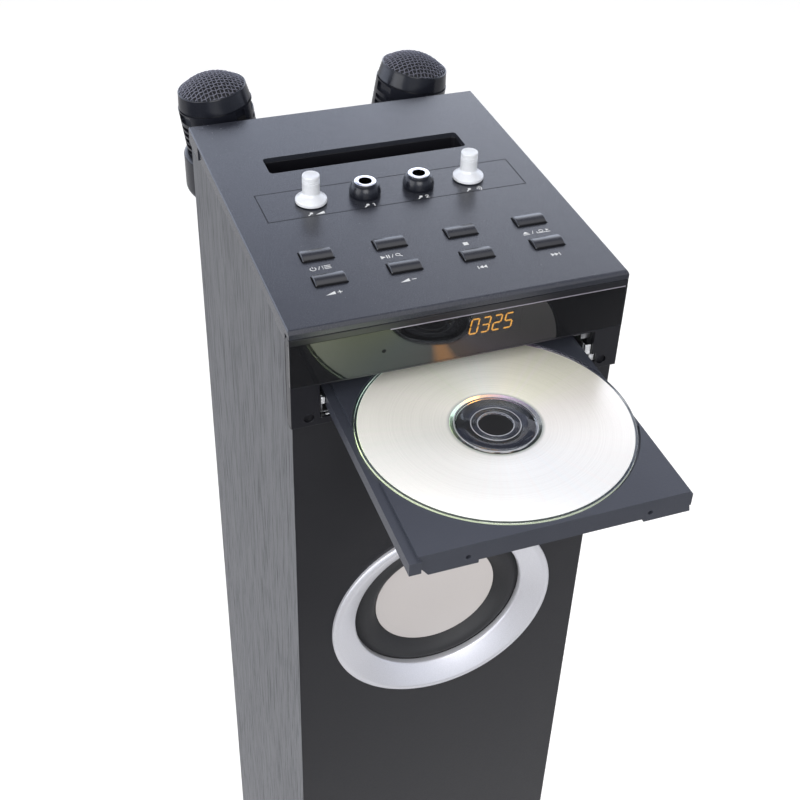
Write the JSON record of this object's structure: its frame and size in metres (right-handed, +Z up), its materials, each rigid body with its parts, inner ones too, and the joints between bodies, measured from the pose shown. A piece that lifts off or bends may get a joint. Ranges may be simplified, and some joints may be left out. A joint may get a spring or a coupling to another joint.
{
  "type": "karaoke machine with disc tray",
  "caption": "Tall slim karaoke tower: wooden column on a wide base plate, moulded control head with loading disc tray and tablet slot, front speakers, and microphones held at the back.",
  "frame": {"origin": "on the floor, under the centre of the base plate", "axes": "+Z up, -Y to the front where the tray opens, +X to the right as seen from the front"},
  "size_m": [0.23, 0.3439, 0.9149],
  "materials": {
    "cover_plastic": "fine grained dark grey",
    "fascia_plastic": "satin black moulding",
    "smoked_window": "polished smoked acrylic",
    "wood_ash": "black ash foil on fibreboard",
    "wood_black": "matt black fibreboard",
    "rubber": "matt",
    "steel_screw": "black oxide",
    "sheet_steel": "zinc plated",
    "chrome": "polished",
    "silver_knob": "metallised silver",
    "button_plastic": "satin black",
    "tray_plastic": "dark grey ABS",
    "loader_plastic": "black ABS",
    "gear_plastic": "natural acetal",
    "disc_polycarbonate": "mirror layer under clear polycarbonate",
    "ring_silver": "silver lacquer",
    "cone_silver": "silver-white dish",
    "circuit_board": "green laminate",
    "mic_plastic": "satin black",
    "mic_mesh": "black wire mesh",
    "numeral_module": "orange seven-segment block"
  },
  "bodies": {
    "cabinet": {"base_plate": "wood_black", "rubber_feet": "rubber", "bottom_panel": "wood_black", "side_panel_right": "wood_ash", "side_panel_left": "wood_ash", "back_panel": "wood_black", "front_baffle": "wood_black", "loader_shelf": "wood_black", "top_cover": "cover_plastic", "tablet_pocket": "fascia_plastic", "front_fascia": "fascia_plastic", "fascia_screws": "steel_screw", "display_window": "smoked_window", "display_module": "numeral_module", "control_board": "circuit_board", "pot_bodies": "sheet_steel", "jack_bushings": "mic_plastic", "jack_sockets": "chrome", "loader_chassis": "loader_plastic", "loading_motor": "sheet_steel", "drive_belt": "rubber", "traverse": "loader_plastic", "guide_rods": "chrome", "clamp_bridge": "sheet_steel", "guide_brackets": "sheet_steel", "upper_trim_ring": "ring_silver", "lower_trim_ring": "ring_silver", "upper_cone": "cone_silver", "lower_cone": "cone_silver", "surrounds": "rubber", "driver_frames": "steel_screw", "mic_holders": "mic_plastic", "mains_inlet": "mic_plastic", "amplifier_board": "circuit_board"},
    "tray": {"disc_tray": "tray_plastic"},
    "disc": {"disc": "disc_polycarbonate"},
    "tray_gear": {"tray_gear": "gear_plastic"},
    "pulley_gear": {"pulley_gear": "gear_plastic"},
    "motor_pulley": {"motor_pulley": "gear_plastic"},
    "pickup": {"optical_pickup": "loader_plastic"},
    "turntable": {"turntable": "loader_plastic"},
    "clamp_puck": {"clamp_puck": "gear_plastic"},
    "volume_control": {"volume_knob": "silver_knob", "volume_shaft": "gear_plastic"},
    "echo_control": {"echo_knob": "silver_knob", "echo_shaft": "gear_plastic"},
    "button_power": {"button_power": "button_plastic"},
    "button_play": {"button_play": "button_plastic"},
    "button_stop": {"button_stop": "button_plastic"},
    "button_eject": {"button_eject": "button_plastic"},
    "button_plus": {"button_plus": "button_plastic"},
    "button_minus": {"button_minus": "button_plastic"},
    "button_previous": {"button_previous": "button_plastic"},
    "button_next": {"button_next": "button_plastic"},
    "mic_left": {"mic_body_left": "mic_plastic", "mic_grille_left": "mic_mesh"},
    "mic_switch_left": {"mic_switch_left": "button_plastic"},
    "mic_right": {"mic_body_right": "mic_plastic", "mic_grille_right": "mic_mesh"},
    "mic_switch_right": {"mic_switch_right": "button_plastic"}
  },
  "joints": [
    {"name": "tray_slide", "type": "slide", "parent": "cabinet", "child": "tray", "axis": [0, 1, 0], "range_m": [0, 0.105]},
    {"name": "disc_spin", "type": "hinge", "parent": "tray", "child": "disc", "pos_m": [0, -0.1114, 0.8635], "axis": [0, 0, 1], "continuous": true},
    {"name": "tray_gear_spin", "type": "hinge", "parent": "cabinet", "child": "tray_gear", "pos_m": [-0.039, -0.047, 0.85], "axis": [0, 0, 1], "range_deg": [-510, 10]},
    {"name": "pulley_gear_spin", "type": "hinge", "parent": "cabinet", "child": "pulley_gear", "pos_m": [-0.03, -0.03141, 0.846], "axis": [0, 0, 1], "range_deg": [-20, 1010]},
    {"name": "motor_pulley_spin", "type": "hinge", "parent": "cabinet", "child": "motor_pulley", "pos_m": [0.001, -0.042, 0.844], "axis": [0, 0, 1], "range_deg": [-20, 3530]},
    {"name": "pickup_slide", "type": "slide", "parent": "cabinet", "child": "pickup", "axis": [0, 1, 0], "range_m": [0, 0.036]},
    {"name": "turntable_spin", "type": "hinge", "parent": "cabinet", "child": "turntable", "pos_m": [0, -0.0064, 0.853], "axis": [0, 0, 1], "continuous": true},
    {"name": "clamp_puck_spin", "type": "hinge", "parent": "cabinet", "child": "clamp_puck", "pos_m": [0, -0.0064, 0.866], "axis": [0, 0, 1], "continuous": true},
    {"name": "volume_turn", "type": "hinge", "parent": "cabinet", "child": "volume_control", "pos_m": [-0.0395, 0.0268, 0.909], "axis": [0, 0, -1], "range_deg": [-150, 150]},
    {"name": "echo_turn", "type": "hinge", "parent": "cabinet", "child": "echo_control", "pos_m": [0.0405, 0.0268, 0.909], "axis": [0, 0, -1], "range_deg": [-150, 150]},
    {"name": "button_power_press", "type": "slide", "parent": "cabinet", "child": "button_power", "axis": [0, 0, -1], "range_m": [0, 0.0008], "stiffness_N_per_m": 300},
    {"name": "button_play_press", "type": "slide", "parent": "cabinet", "child": "button_play", "axis": [0, 0, -1], "range_m": [0, 0.0008], "stiffness_N_per_m": 300},
    {"name": "button_stop_press", "type": "slide", "parent": "cabinet", "child": "button_stop", "axis": [0, 0, -1], "range_m": [0, 0.0008], "stiffness_N_per_m": 300},
    {"name": "button_eject_press", "type": "slide", "parent": "cabinet", "child": "button_eject", "axis": [0, 0, -1], "range_m": [0, 0.0008], "stiffness_N_per_m": 300},
    {"name": "button_plus_press", "type": "slide", "parent": "cabinet", "child": "button_plus", "axis": [0, 0, -1], "range_m": [0, 0.0008], "stiffness_N_per_m": 300},
    {"name": "button_minus_press", "type": "slide", "parent": "cabinet", "child": "button_minus", "axis": [0, 0, -1], "range_m": [0, 0.0008], "stiffness_N_per_m": 300},
    {"name": "button_previous_press", "type": "slide", "parent": "cabinet", "child": "button_previous", "axis": [0, 0, -1], "range_m": [0, 0.0008], "stiffness_N_per_m": 300},
    {"name": "button_next_press", "type": "slide", "parent": "cabinet", "child": "button_next", "axis": [0, 0, -1], "range_m": [0, 0.0008], "stiffness_N_per_m": 300},
    {"name": "mic_left_lift", "type": "slide", "parent": "cabinet", "child": "mic_left", "axis": [-0.1321, 0.0467, 0.9901], "range_m": [0, 0.13]},
    {"name": "mic_switch_left_slide", "type": "slide", "parent": "mic_left", "child": "mic_switch_left", "axis": [-0.1321, 0.0467, 0.9901], "range_m": [0, 0.003]},
    {"name": "mic_right_lift", "type": "slide", "parent": "cabinet", "child": "mic_right", "axis": [0.165, 0.0052, 0.9863], "range_m": [0, 0.13]},
    {"name": "mic_switch_right_slide", "type": "slide", "parent": "mic_right", "child": "mic_switch_right", "axis": [0.165, 0.0052, 0.9863], "range_m": [0, 0.003]}
  ],
  "couplings": [
    {"joint": "tray_gear_spin", "follows": "tray_slide", "rad_per_m": -83.333},
    {"joint": "pulley_gear_spin", "follows": "tray_slide", "rad_per_m": 166.67},
    {"joint": "motor_pulley_spin", "follows": "tray_slide", "rad_per_m": 583.33}
  ]
}
